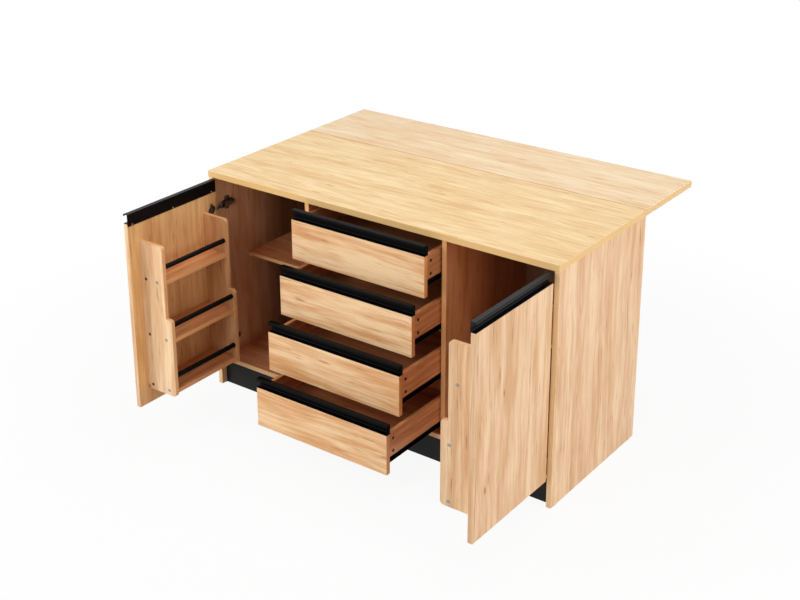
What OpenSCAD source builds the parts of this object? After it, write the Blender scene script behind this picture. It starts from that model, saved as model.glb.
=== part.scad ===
// Kitchen island unit: a cabinet with two doors that carry spice racks, four drawers between
// them, and a worktop whose rear leaf folds down on hinges and folding stays.
// Millimetres. +X is to the right seen from the drawer side, -Y is the drawer side, +Z is up.
// The origin is on the floor, in the middle of the outline as it stands with doors, drawers and leaf open.

/* [Overall] */
// width of the worktop and of the cabinet
island_w = 1524; // [1400:1:1700]
// height of the worktop's top face
island_h = 900; // [850:1:960]
// thickness of the worktop and its leaf
top_t = 24; // [18:1:40]
// depth of the fixed worktop, front edge to hinge line
top_d = 601; // [560:1:680]
// depth of the folding leaf
leaf_d = 362; // [345:1:400]
// gap between the worktop and its leaf
leaf_gap = 1.5; // [1:0.5:3]
// how far the worktop stands ahead of the side panels
top_lip = 3; // [0:1:12]
// small bevel along the boards' edges
ease = 0.8; // [0.3:0.1:2]

/* [Cabinet] */
// thickness of the cabinet boards
board_t = 19; // [16:1:22]
// depth of the side panels
side_d = 596; // [570:1:640]
// thickness of the back panel
back_t = 12; // [6:1:19]
// pocket behind the back panel for the stays and hinges
back_inset = 30; // [28:1:40]
// height of the black plinth
plinth_h = 96; // [70:1:110]
// thickness of the plinth board
plinth_t = 15; // [12:1:19]
// plinth behind the edge of the bottom board
plinth_set = 1.5; // [0.5:0.5:8]
// height of the floor glides
glide_h = 2; // [1:0.5:4]
// diameter of a floor glide
glide_d = 22; // [16:1:30]
// free zone behind the closed fronts
front_zone = 23; // [22:1:30]

/* [Shelves] */
// thickness of the shelves
shelf_t = 15; // [12:1:19]
// height of a shelf's top face
shelf_z = 510; // [400:1:620]
// shelf's front edge behind the side panels' front
shelf_set = 183; // [175:1:260]
// diameter of a shelf pin
pin_d = 5; // [4:1:8]
// pin behind the shelf's front edge and ahead of the back panel
pin_edge = 45; // [30:1:90]
// length of a pin below the shelf
pin_l = 10; // [6:1:14]
// depth of a pin in the board
pin_in = 8; // [5:1:12]

/* [Fronts] */
// thickness of the doors and drawer fronts
front_t = 19; // [16:1:22]
// width of a drawer front
drawer_front_w = 580; // [500:1:640]
// gap between neighbouring fronts
front_gap = 3; // [2:0.5:5]
// gap between a door and its side panel
hinge_gap = 2; // [1.5:0.5:4]
// gap above each handle profile
front_reveal = 3.5; // [2:0.5:6]
// how much of the bottom board's edge shows under the fronts
front_lift = 10; // [0:1:16]
// number of drawers
drawer_n = 4; // [4:1:4]

/* [Handle profile] */
// height of the profile above the wood
profile_h = 37; // [30:1:45]
// wall of the profile
profile_wall = 1.6; // [1.2:0.1:2.5]
// how far the profile reaches down behind the wood
profile_leg = 10; // [8:1:20]
// height of the rolled front lip
profile_lip = 8; // [5:1:14]
// outer radius of the rolled lip
profile_r = 3.5; // [2.5:0.5:6]
// profile screw head diameter
profile_screw_d = 5; // [4:0.5:6]
// profile screw distance from the end
profile_screw_end = 22; // [15:1:60]

/* [Drawers] */
// opening of the top drawer as shown
open_first = 77; // [0:1:200]
// how much further each lower drawer stands open
open_step = 72; // [0:1:80]
// full travel of a drawer
drawer_travel = 400; // [330:1:420]
// length of the drawer box
box_d = 480; // [450:1:500]
// height of the box sides
box_h = 92; // [70:1:120]
// thickness of the box sides and back
box_t = 15; // [10:1:16]
// small bevel along the box and shelf edges
box_ease = 0.5; // [0.2:0.1:1.5]
// box side behind the end of the front
box_set = 4; // [3:0.5:10]
// drop of the box back below the sides
box_back_drop = 12; // [5:1:30]
// thickness of the box bottom
bottom_t = 5; // [3:1:8]
// bottom panel above the lower edge of the sides
bottom_up = 12; // [8:1:20]
// depth of the grooves for the bottom
groove_d = 6; // [4:1:8]
// height of the drawer rail
rail_h = 22; // [18:1:30]
// width of the drawer rail
rail_w = 15; // [12:1:20]
// steel thickness of the rails
rail_wall = 1.5; // [1:0.1:2]
// clearance between the rail halves
rail_play = 0.6; // [0.4:0.1:1.5]
// length of the cabinet rail
rail_l = 450; // [400:1:480]
// height of the cabinet rail's foot
rail_foot = 30; // [24:1:40]
// diameter of a box screw head
box_screw_d = 12; // [5:1:14]
// height of a box screw head
box_screw_h = 1; // [0.5:0.5:2]
// screw behind the inner face of the front
box_screw_in = 24; // [10:1:40]
// upper and lower screw below the box side's top
box_screw_z = [27, 75]; // [10:1:110]

/* [Doors] */
// opening angle of the doors as shown
door_open = 90; // [0:1:95]
// swing axis beyond the side panel's inner face
axis_in = 3; // [2:0.5:5]
// swing axis ahead of the side panel's front edge
axis_out = 2; // [1:0.5:4]
// height of a hinge above the lower or below the upper end of the wood
hinge_end = 80; // [60:1:120]
// diameter of the hinge cup
cup_d = 35; // [26:1:40]
// depth of the hinge cup
cup_deep = 11.5; // [9:0.5:13]
// wall of the hinge cup
cup_wall = 1.2; // [0.8:0.1:2]
// thickness of the cup's flange
cup_flange = 1.2; // [0.8:0.1:2]
// cup centre behind the door's edge
cup_edge = 22.5; // [20:0.5:28]
// width of the hinge arm
arm_w = 18; // [14:1:24]
// wall of the hinge arm
arm_wall = 2; // [1.5:0.1:3]
// how far the arm stands off the side panel
arm_off = 15; // [12:1:20]
// start of the arm behind the side panel's front edge
arm_y = 36; // [30:1:50]
// length of the arm
arm_l = 66; // [50:1:80]
// link pivot off the side panel
link_off = 14; // [12:0.5:18]
// link pivot behind the side panel's front edge
link_back = 27; // [24:0.5:32]
// radius of the link's pin
link_pin_r = 1.5; // [1:0.25:2]
// length of the link
link_l = 37; // [30:0.1:44]
// thickness of the link
link_t = 5; // [4:0.5:8]
// angle of the link as shown, from the front-to-back line
link_lean = 12.3; // [10:0.1:20]

/* [Spice rack] */
// thickness of the rack boards
rack_t = 15; // [10:1:16]
// rack side behind the door's free edge
rack_free = 50; // [46:1:80]
// rack side behind the door's hinge edge
rack_hinge = 55; // [50:1:90]
// height of the rack's foot above the door's lower edge
rack_low = 64; // [30:1:120]
// height of the rack
rack_h = 588; // [500:1:620]
// depth of the rack's upper part
rack_narrow = 111; // [90:1:120]
// depth of the rack's lower part
rack_wide = 139; // [120:1:142]
// height of the rack's wide part
rack_step = 308; // [250:1:400]
// corner radius of the rack sides
rack_r = 14; // [6:1:20]
// centre heights of the three shelves above the rack's foot
rack_shelf_z = [19, 224, 444]; // [10:1:560]
// shelf edge behind the rack side's edge
rack_shelf_set = 4; // [1:1:12]
// rod above the shelf's centre
rod_up = 58; // [40:1:100]
// rod diameter
rod_d = 18; // [8:1:22]
// rod centre behind the rack side's edge
rod_set = 13; // [12:1:20]
// rod end let into the rack side
rod_in = 6; // [4:1:10]
// running gap of a rod in its hole
rod_fit = 0.05; // [0:0.01:0.2]
// diameter of the bright cam caps
cap_d = 14; // [8:1:16]
// height of a cap
cap_h = 0.8; // [0.5:0.1:1.5]
// cap centre behind the rack side's edge
cap_set = 33; // [20:1:50]
// rear screw off the door's inner face
screw_off = 22; // [12:1:40]
// diameter of the dark screw heads
screw_d = 11; // [5:1:12]

/* [Leaf hinges and stays] */
// height of the hinge pin below the worktop
knuckle_drop = 4; // [3.5:0.5:6]
// outer radius of the hinge knuckle
knuckle_r = 3.6; // [3:0.1:5]
// hinge pin radius
leaf_pin_r = 1.5; // [1:0.1:2.5]
// width of a leaf hinge
leaf_hinge_w = 60; // [40:1:90]
// flap thickness
flap_t = 2; // [1.5:0.5:3]
// running gap of the pins in the leaf hinges, stays and hinge links
pin_fit = 0.06; // [0.02:0.01:0.1]
// reach of the flap under the worktop
flap_in = 26; // [18:1:27]
// reach of the flap under the leaf
flap_out = 46; // [30:1:70]
// places of the leaf hinges along the width
leaf_hinge_x = [-560, 0, 560]; // [-700:1:700]
// places of the stays along the width
stay_x = [-400, 400]; // [-700:1:700]
// length of a stay between its pivot and its roller
stay_l = 225; // [180:1:240]
// angle of a raised stay from the vertical
stay_lean = 60; // [50:1:70]
// angle of a folded stay from the vertical
stay_folded = 178; // [175:1:179]
// stay pivot off the back panel
stay_off = 16; // [12:1:20]
// radius of the stay's pivot pin
stay_pin_r = 3; // [2:0.5:5]
// width of the stay bar
stay_w = 16; // [12:1:24]
// thickness of the stay bar
stay_t = 6; // [4:1:8]
// radius of the stay's roller
roller_r = 6; // [5:0.5:8]
// length of the roller
roller_l = 14; // [10:1:18]
// gap between roller and track when the leaf is up
roller_gap = 0.4; // [0.3:0.1:1]
// inner width of the track under the leaf
track_w = 20; // [16:1:28]
// height of the track
track_h = 12; // [8:1:14]
// wall of the track and of the wall bracket
track_wall = 2; // [1.5:0.5:3]
// width of the wall bracket
bracket_w = 34; // [28:1:50]
// height of the wall bracket
bracket_h = 96; // [70:1:130]
// plate and ear thickness of the wall bracket
bracket_t = 3; // [2:0.5:5]
// screw holes of the wall bracket, apart across and upright
bracket_holes = [20, 72]; // [10:1:110]
// diameter of the bracket's screw holes
bracket_hole_d = 5; // [3:0.5:6]
// side play of the stay between the ears
ear_play = 0.5; // [0.3:0.1:1]

/* [Output] */
// which piece to show

/* [Hidden] */
$fn = 48;
e0 = 0.01;

// widths
in_w = island_w - 2 * board_t;                 // between the side panels
xi = in_w / 2;                                 // inner face of the right side panel
half_front = drawer_front_w / 2;
door_w = xi - hinge_gap - half_front - front_gap;
div_play = 2;                                  // drawer front to divider
div_x = half_front + div_play;                 // inner face of the right divider

// depths, from the worktop's front edge until the whole is centred
fy = top_lip;                                  // front plane of side panels and closed fronts
inner_y = fy + front_zone;                     // front edge of dividers and bottom board
back_y = fy + side_d - back_inset;             // outer face of the back panel
back_in = back_y - back_t;
leaf_y0 = top_d + leaf_gap;
leaf_y1 = leaf_y0 + leaf_d;

// heights
under = island_h - top_t;                      // underside of the worktop
floor_z = plinth_h + board_t;                  // top face of the bottom board
fronts_z = plinth_h + front_lift;              // lower edge of the fronts
pitch = (under - fronts_z) / drawer_n;
wood_h = pitch - profile_h - front_reveal;     // wood part of a drawer front
door_h = under - fronts_z - profile_h - front_reveal;
door_top = fronts_z + door_h;

// swing axis of the right door
ax = xi + axis_in;
ay = fy - axis_out;

// drawer opening, drawer 1 is the top one
function drawer_out(i) = open_first + i * open_step;
function drawer_z(i) = fronts_z + (drawer_n - 1 - i) * pitch;

// outline centre: from the free edge of the open doors to the leaf's rear edge
reach_door = (door_w + hinge_gap + axis_in) * sin(door_open) + axis_out * (1 - cos(door_open));
reach_front = max(reach_door, drawer_out(drawer_n - 1));
mid_y = (leaf_y1 + fy - reach_front) / 2;

// colours
oak = [0.86, 0.68, 0.46];
oak_dark = [0.70, 0.50, 0.33];
black = [0.05, 0.05, 0.055];
steel = [0.72, 0.72, 0.74];
bronze = [0.22, 0.12, 0.07];

// board with all twelve edges eased, corner at the origin
module board(s, e = ease) {
    intersection() {
        linear_extrude(height = s[2]) eased(s[0], s[1], e);
        translate([s[0], 0, 0]) rotate([0, -90, 0]) linear_extrude(height = s[0]) eased(s[2], s[1], e);
        translate([0, s[1], 0]) rotate([90, 0, 0]) linear_extrude(height = s[1]) eased(s[0], s[2], e);
    }
}

// rectangle with cut corners
module eased(a, b, e) {
    polygon([[e, 0], [a - e, 0], [a, e], [a, b - e], [a - e, b], [e, b], [0, b - e], [0, e]]);
}

// the mirror image on the left
module left() { mirror([1, 0, 0]) children(); }

// the right door as it stands open
module swung() {
    translate([ax, ay, 0]) rotate([0, 0, door_open]) translate([-ax, -ay, 0]) children();
}

// drawer i as it stands open
module pulled(i) { translate([0, -drawer_out(i), 0]) children(); }

// ---------------------------------------------------------------- worktop and leaf

module worktop() {
    color(oak) translate([-island_w / 2, 0, under]) board([island_w, top_d, top_t]);
}

module drop_leaf() {
    color(oak) translate([-island_w / 2, leaf_y0, under]) board([island_w, leaf_d, top_t]);
}

hinge_y = top_d + leaf_gap / 2;                // leaf hinge pin
hinge_z = under - knuckle_drop;

// one back-flap hinge half: knuckles in the listed slots, bored for the pin, and the flap behind them
module flap_half(x, slots, reach, dir, bore) {
    seg = leaf_hinge_w / 5;
    translate([x - leaf_hinge_w / 2, hinge_y, hinge_z]) difference() {
        union() {
            for (k = slots) translate([k * seg + 0.3, 0, 0]) {
                rotate([0, 90, 0]) cylinder(r = knuckle_r, h = seg - 0.6);
                translate([0, dir > 0 ? 0 : -knuckle_r - 1, knuckle_drop - flap_t])
                    cube([seg - 0.6, knuckle_r + 1, flap_t]);
            }
            translate([0, dir > 0 ? knuckle_r + 0.4 : -reach, knuckle_drop - flap_t])
                cube([leaf_hinge_w, reach - knuckle_r - 0.4, flap_t]);
        }
        translate([-1, 0, 0]) rotate([0, 90, 0]) cylinder(r = bore, h = leaf_hinge_w + 2);
        for (sx = [0.2, 0.8])
            translate([leaf_hinge_w * sx, dir * (reach - 9), knuckle_drop - flap_t - 1])
                cylinder(d = 4.5, h = flap_t + 2);
    }
}

module leaf_hinge_fixed() {
    color(steel) for (x = leaf_hinge_x) {
        flap_half(x, [0, 2, 4], flap_in, -1, leaf_pin_r);
        translate([x - leaf_hinge_w / 2 + 0.3, hinge_y, hinge_z])
            rotate([0, 90, 0]) cylinder(r = leaf_pin_r, h = leaf_hinge_w - 0.6);
    }
}

module leaf_hinge_moving() {
    color(steel) for (x = leaf_hinge_x) flap_half(x, [1, 3], flap_out, 1, leaf_pin_r + pin_fit);
}

// stay geometry in the plane across the width
roll_z = under - track_wall - roller_r - roller_gap;
stay_y = back_y + stay_off;
stay_z = roll_z - stay_l * cos(stay_lean);
roll_y = stay_y + stay_l * sin(stay_lean);

// inverted channels under the leaf, in which the rollers run
module leaf_tracks() {
    y0 = leaf_y0 + flap_out / 2;
    y1 = leaf_y1 - 10;
    color(black) for (x = stay_x) translate([x - track_w / 2 - track_wall, y0, under - track_h])
        difference() {
            cube([track_w + 2 * track_wall, y1 - y0, track_h]);
            translate([track_wall, -1, -1]) cube([track_w, y1 - y0 + 2, track_h - track_wall + 1]);
            for (f = [0.06, 0.5, 0.94])
                translate([track_w / 2 + track_wall, (y1 - y0) * f, 0]) cylinder(d = 4.5, h = track_h + 1);
        }
}

// wall brackets of the stays: a plate with two ears and a pin
module stay_brackets() {
    ear = bracket_t;
    gap = stay_t + 2 * ear_play;
    color(black) for (x = stay_x) translate([x, back_y, 0]) {
        difference() {
            translate([-bracket_w / 2, 0, stay_z - bracket_h / 2]) cube([bracket_w, bracket_t, bracket_h]);
            for (a = [-0.5, 0.5]) for (b = [-0.5, 0.5])
                translate([a * bracket_holes[0], -1, stay_z + b * bracket_holes[1]])
                    rotate([-90, 0, 0]) cylinder(d = bracket_hole_d, h = bracket_t + 2);
        }
        for (s = [-1, 1]) difference() {
            union() {
                translate([s * (gap + ear) / 2 - ear / 2, bracket_t - 1, stay_z - 12])
                    cube([ear, stay_off - bracket_t + 1, 24]);
                translate([s * (gap + ear) / 2 - ear / 2, stay_off, stay_z])
                    rotate([0, 90, 0]) cylinder(r = 9, h = ear);
            }
            translate([s * (gap + ear) / 2 - ear / 2 - 1, stay_off, stay_z])
                rotate([0, 90, 0]) cylinder(r = stay_pin_r, h = ear + 2);
        }
        translate([-gap / 2 - ear, stay_off, stay_z])
            rotate([0, 90, 0]) cylinder(r = stay_pin_r, h = gap + 2 * ear);
    }
}

// the two stays with their rollers, standing under the raised leaf
module leaf_stays() {
    color(black) for (x = stay_x) translate([x, stay_y, stay_z]) rotate([-stay_lean, 0, 0]) {
        difference() {
            union() {
                translate([-stay_t / 2, 0, 0]) rotate([0, 90, 0]) cylinder(d = stay_w, h = stay_t);
                translate([-stay_t / 2, -stay_w / 2, 0]) cube([stay_t, stay_w, stay_l * 0.9]);
                translate([-stay_t / 2, -5, stay_l * 0.88]) cube([stay_t, 10, stay_l * 0.12]);
                translate([-stay_t / 2, 0, stay_l]) rotate([0, 90, 0]) cylinder(r = 5, h = stay_t);
            }
            translate([-stay_t, 0, 0]) rotate([0, 90, 0]) cylinder(r = stay_pin_r + pin_fit, h = 2 * stay_t);
            translate([-stay_t, -2.5, stay_l * 0.18]) cube([2 * stay_t, 5, stay_l * 0.6]);
        }
        for (s = [-1, 1]) translate([s > 0 ? stay_t / 2 : -roller_l / 2, 0, stay_l])
            rotate([0, 90, 0]) cylinder(r = roller_r, h = (roller_l - stay_t) / 2);
    }
}

// ---------------------------------------------------------------- cabinet

// the right side panel, with holes for the shelf pins
module side_panel() {
    difference() {
        translate([xi, fy, glide_h]) board([board_t, side_d, under - glide_h]);
        pin_holes(xi, 1);
    }
}

module side_panel_right() { color(oak) side_panel(); }
module side_panel_left() { color(oak) left() side_panel(); }

// pins stand under the shelf, in the board that starts at x and lies towards dir
pin_ys = [shelf_set + fy + pin_edge, back_in - pin_edge];

module pin_holes(x, dir) {
    for (y = pin_ys) translate([dir > 0 ? x - e0 : x - pin_in, y, shelf_z - shelf_t - pin_d / 2])
        rotate([0, 90, 0]) cylinder(d = pin_d, h = pin_in + e0);
}

module divider() {
    difference() {
        translate([div_x, inner_y, floor_z]) board([board_t, back_in - inner_y, under - floor_z]);
        pin_holes(div_x + board_t, -1);
    }
}

module divider_right() { color(oak) divider(); }
module divider_left() { color(oak) left() divider(); }

module bottom_board() {
    color(oak) translate([-xi, inner_y, plinth_h]) board([in_w, back_in - inner_y, board_t]);
}

module plinth() {
    color(black) translate([-xi, inner_y + plinth_set, glide_h])
        board([in_w, plinth_t, plinth_h - glide_h]);
}

module back_panel() {
    color(oak) translate([-xi, back_in, glide_h]) board([in_w, back_t, under - glide_h]);
}

// one shelf behind each door
module shelves() {
    x0 = div_x + board_t;
    color(oak) for (m = [0, 1]) mirror([m, 0, 0])
        translate([x0 + 0.5, fy + shelf_set, shelf_z - shelf_t])
            board([xi - x0 - 1, back_in - fy - shelf_set, shelf_t]);
}

module shelf_pins() {
    x0 = div_x + board_t;
    color(steel) for (m = [0, 1]) mirror([m, 0, 0]) for (y = pin_ys) {
        translate([x0 - pin_in, y, shelf_z - shelf_t - pin_d / 2])
            rotate([0, 90, 0]) cylinder(d = pin_d, h = pin_in + pin_l);
        translate([xi - pin_l, y, shelf_z - shelf_t - pin_d / 2])
            rotate([0, 90, 0]) cylinder(d = pin_d, h = pin_in + pin_l);
    }
}

module floor_glides() {
    color([0.9, 0.9, 0.88]) for (m = [0, 1]) mirror([m, 0, 0])
        for (y = [fy + 30, fy + side_d - 30])
            translate([xi + board_t / 2, y, 0])
                intersection() {
                    cylinder(d = glide_d, h = glide_h);
                    translate([-board_t / 2, -glide_d, 0]) cube([board_t, 2 * glide_d, glide_h]);
                }
}

// ---------------------------------------------------------------- drawers

box_x = half_front - box_set;                  // outer face of the box side
box_y = fy + front_t;                          // box starts at the front's inner face

module drawer_front(i) {
    difference() {
        translate([-half_front, fy, drawer_z(i)]) board([drawer_front_w, front_t, wood_h]);
        // groove for the bottom panel
        translate([-box_x + box_t - groove_d, box_y - groove_d, bottom_z(i)])
            cube([2 * (box_x - box_t + groove_d), groove_d + 1, bottom_t]);
    }
}

function side_z(i) = drawer_z(i) + wood_h - box_h;   // lower edge of the box sides
function bottom_z(i) = side_z(i) + bottom_up;

module drawer_box(i) {
    for (s = [0, 1]) mirror([s, 0, 0]) difference() {
        translate([box_x - box_t, box_y, side_z(i)]) board([box_t, box_d, box_h], box_ease);
        translate([box_x - box_t - 1, box_y - 1, bottom_z(i)])
            cube([groove_d + 1, box_d + 2, bottom_t]);
    }
    translate([-box_x + box_t, box_y + box_d - box_t, bottom_z(i) + bottom_t])
        board([2 * (box_x - box_t), box_t, box_h - bottom_up - bottom_t - box_back_drop], box_ease);
}

module drawer_bottom(i) {
    w = box_x - box_t + groove_d;
    translate([-w, box_y - groove_d, bottom_z(i)])
        cube([2 * w, box_d - 1 + groove_d, bottom_t]);
}

// drawer rails under the box sides, box screws and handle screws
module drawer_fittings(i) {
    z0 = side_z(i) - rail_h;
    for (s = [0, 1]) mirror([s, 0, 0]) {
        translate([box_x - rail_w, box_y + 1, z0]) difference() {
            cube([rail_w, box_d - 4, rail_h]);
            translate([rail_wall, -1, rail_wall]) cube([rail_w, box_d, rail_h - 2 * rail_wall]);
        }
        for (dz = box_screw_z) translate([box_x, box_y + box_screw_in, side_z(i) + box_h - dz])
            rotate([0, 90, 0]) cylinder(d1 = box_screw_d, d2 = box_screw_d * 0.8, h = box_screw_h);
    }
    // dark screws of the handle profile
    for (f = [-1, 0, 1])
        translate([f * (half_front - box_set - box_t - profile_screw_end),
                   box_y + profile_wall, drawer_z(i) + wood_h - profile_leg / 2])
            rotate([-90, 0, 0]) cylinder(d1 = profile_screw_d, d2 = profile_screw_d * 0.7, h = 0.8);
}

// cabinet rails on the dividers, one pair to each drawer
module cabinet_rails() {
    ah = rail_h - 2 * rail_wall - 2 * rail_play;      // height inside the drawer rail
    ax0 = box_x - rail_w + rail_wall + rail_play;     // inner end of the rail
    color(black) for (s = [0, 1]) mirror([s, 0, 0]) for (i = [0 : drawer_n - 1]) {
        zc = side_z(i) - rail_h / 2;
        translate([0, inner_y + 2, zc]) difference() {
            union() {
                translate([div_x - rail_wall, 0, -rail_foot / 2]) cube([rail_wall, rail_l, rail_foot]);
                translate([ax0, 0, -ah / 2]) cube([div_x - ax0, rail_l, ah]);
            }
            translate([ax0 + rail_wall, -1, -ah / 2 + rail_wall])
                cube([div_x - ax0 - 2 * rail_wall, rail_l + 2, ah - 2 * rail_wall]);
        }
    }
}

// ---------------------------------------------------------------- handle profile

// section: x is the depth from the front plane, y the height above the wood
module profile_section(leg) {
    w = profile_wall;
    t = front_t;
    // back plate
    translate([t, leg ? -profile_leg : 0]) square([w, profile_h + (leg ? profile_leg : 0)]);
    // flange on the wood
    translate([0.8, 0]) square([t - 0.8 + e0, w]);
    // top flange
    translate([profile_r, profile_h - w]) square([t + w - profile_r, w]);
    // rolled lip
    translate([profile_r, profile_h - profile_r]) intersection() {
        difference() { circle(r = profile_r); circle(r = profile_r - w); }
        translate([-profile_r, 0]) square(profile_r);
    }
    translate([0, profile_h - profile_lip]) square([w, profile_lip - profile_r + e0]);
    // hollow between the lower flange and the back plate
    translate([t, w]) difference() {
        translate([-4, 0]) square([4 + e0, 4]);
        translate([-4, 4]) circle(r = 4);
    }
}

// profile of length l along +X, front plane at y = 0, wood top at z = 0
module profile(l, leg_in = 0) {
    rotate([90, 0, 90]) linear_extrude(height = l) profile_section(false);
    translate([leg_in, front_t, -profile_leg]) cube([l - 2 * leg_in, profile_wall, profile_leg + e0]);
}

module drawer_handle(i) {
    translate([-half_front, fy, drawer_z(i) + wood_h])
        profile(drawer_front_w, box_set + box_t + 0.5);
}

// ---------------------------------------------------------------- doors, drawn closed on the right

door_x1 = xi - hinge_gap;                      // hinge edge
door_x0 = door_x1 - door_w;                    // free edge
door_in = fy + front_t;                        // inner face
hinge_zs = [fronts_z + hinge_end, door_top - hinge_end];

module door_panel() {
    color(oak) swung() difference() {
        translate([door_x0, fy, fronts_z]) board([door_w, front_t, door_h]);
        for (z = hinge_zs) translate([door_x1 - cup_edge, door_in - cup_deep, z])
            rotate([-90, 0, 0]) cylinder(d = cup_d, h = cup_deep + 1);
    }
}

module door_handle() {
    color(black) swung() translate([door_x0, fy, door_top]) profile(door_w);
}

rack_z = fronts_z + rack_low;
rack_xf = door_x0 + rack_free;                 // rack's face near the free edge
rack_xh = door_x1 - rack_hinge;                // rack's face near the hinges
function rack_d(k) = rack_shelf_z[k] < rack_step ? rack_wide : rack_narrow;

// stepped outline: x is the depth off the door, y the height above the rack's foot
module rack_outline() {
    r = rack_r;
    square([rack_wide - r, rack_step]);
    translate([0, r]) square([rack_wide, rack_step - 2 * r]);
    for (y = [r, rack_step - r]) translate([rack_wide - r, y]) circle(r = r);
    translate([0, rack_step - 1]) square([rack_narrow - r, rack_h - rack_step + 1]);
    translate([0, rack_step - 1]) square([rack_narrow, rack_h - rack_step - r + 1]);
    translate([rack_narrow - r, rack_h - r]) circle(r = r);
}

module rack_side(x) {
    translate([x, door_in, rack_z]) rotate([90, 0, 90]) linear_extrude(height = rack_t) rack_outline();
}

module rack_sides() {
    color(oak) swung() difference() {
        union() { rack_side(rack_xf); rack_side(rack_xh - rack_t); }
        for (k = [0 : 2]) translate([rack_xf + rack_t - rod_in, rod_y(k), rod_z(k)])
            rotate([0, 90, 0]) cylinder(d = rod_d + 2 * rod_fit, h = rack_xh - rack_xf - 2 * rack_t + 2 * rod_in);
    }
}

function rod_y(k) = door_in + rack_d(k) - rod_set;
function rod_z(k) = rack_z + rack_shelf_z[k] + rod_up;

module rack_shelves() {
    color(oak) swung() for (k = [0 : 2])
        translate([rack_xf + rack_t, door_in, rack_z + rack_shelf_z[k] - rack_t / 2])
            board([rack_xh - rack_xf - 2 * rack_t, rack_d(k) - rack_shelf_set, rack_t], box_ease);
}

module rack_rods() {
    color(black) swung() for (k = [0 : 2])
        translate([rack_xf + rack_t - rod_in, rod_y(k), rod_z(k)])
            rotate([0, 90, 0]) cylinder(d = rod_d, h = rack_xh - rack_xf - 2 * rack_t + 2 * rod_in);
}

// dark screws at the back of the rack's shelves, one to each end
module rack_screws() {
    color(bronze) swung() for (k = [0 : 2]) for (s = [0, 1])
        translate([s == 0 ? rack_xf - 0.8 : rack_xh, door_in + screw_off, rack_z + rack_shelf_z[k]])
            rotate([0, 90, 0]) cylinder(d = screw_d, h = 0.8);
}

// bright caps at the front of the shelves and the handle's screws
module door_caps() {
    color(steel) swung() {
        for (k = [0 : 2]) for (s = [0, 1])
            translate([s == 0 ? rack_xf - cap_h : rack_xh, door_in + rack_d(k) - cap_set, rack_z + rack_shelf_z[k]])
                rotate([0, 90, 0]) cylinder(d = cap_d, h = cap_h);
        for (x = [door_x0 + profile_screw_end, (door_x0 + door_x1) / 2, door_x1 - profile_screw_end])
            translate([x, door_in + profile_wall, door_top - profile_leg / 2])
                rotate([-90, 0, 0]) cylinder(d1 = profile_screw_d, d2 = profile_screw_d * 0.7, h = 0.8);
    }
}

// hinge cups let into the door, with a flange and two screws
module hinge_cups() {
    color(black) swung() for (z = hinge_zs) translate([door_x1 - cup_edge, door_in, z])
        difference() {
            union() {
                rotate([90, 0, 0]) cylinder(d = cup_d, h = cup_deep);
                translate([-11, 0, -28]) cube([20, cup_flange, 56]);
                rotate([-90, 0, 0]) cylinder(d = cup_d + 3, h = cup_flange);
                for (s = [-1, 1]) translate([-3, 0, s * 23])
                    rotate([-90, 0, 0]) cylinder(d = 8, h = cup_flange + 1);
            }
            translate([0, cup_flange + 2, 0]) rotate([90, 0, 0])
                cylinder(d = cup_d - 2 * cup_wall, h = cup_deep - cup_wall + cup_flange + 2);
        }
}

// hinge links, on a pin at the arm's front end, leaning towards the open door
lx = xi - link_off;
ly = fy + link_back;

module hinge_links() {
    color(black) for (z = hinge_zs) translate([lx, ly, z]) rotate([0, 0, -link_lean - 90])
        difference() {
            union() {
                translate([0, 0, -5]) cylinder(d = link_t + 3, h = 10);
                translate([0, -link_t / 2, -5]) cube([link_l - 4, link_t, 10]);
                translate([link_l - 4, 0, -5]) cylinder(d = link_t + 1, h = 10);
            }
            translate([0, 0, -6]) cylinder(r = link_pin_r + pin_fit, h = 12);
        }
}

// hinge arms on the side panel, each with a mounting plate, two screws and the link's pin
module hinge_arms() {
    color(black) for (m = [0, 1]) mirror([m, 0, 0]) for (z = hinge_zs) translate([xi, fy, z]) {
        // mounting plate with wings
        translate([-3, arm_y + 18, -26]) cube([3, 30, 52]);
        translate([-3, arm_y + 4, -arm_w / 2 - 2]) cube([3, arm_l - 6, arm_w + 4]);
        for (s = [-1, 1]) translate([-3, arm_y + 33, s * 18]) rotate([0, -90, 0]) cylinder(d = 8, h = 1);
        // hollow arm
        difference() {
            union() {
                translate([-arm_off, arm_y, -arm_w / 2]) cube([arm_off - 3, arm_l, arm_w]);
                for (s = [-1, 1]) translate([-link_off, link_back, s * (arm_w / 2 - arm_wall / 2) - arm_wall / 2])
                    cylinder(d = 8, h = arm_wall);
                for (s = [-1, 1])
                    translate([-link_off - 4, link_back, s * (arm_w / 2 - arm_wall / 2) - arm_wall / 2])
                        cube([8, arm_y - link_back + 2, arm_wall]);
            }
            translate([-arm_off + arm_wall, arm_y - 1, -arm_w / 2 + arm_wall])
                cube([arm_off, arm_l - arm_wall, arm_w - 2 * arm_wall]);
            translate([-arm_off - 1, arm_y - 1, -arm_w / 2 + arm_wall])
                cube([arm_off, 9, arm_w - 2 * arm_wall]);
        }
        translate([-link_off, link_back, -arm_w / 2]) cylinder(r = link_pin_r, h = arm_w);
        // adjusting screws
        for (y = [arm_y + 20, arm_y + 46]) translate([-arm_off, y, 0]) rotate([0, -90, 0]) cylinder(d = 7, h = 1.2);
    }
}

// ---------------------------------------------------------------- nodes

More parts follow.
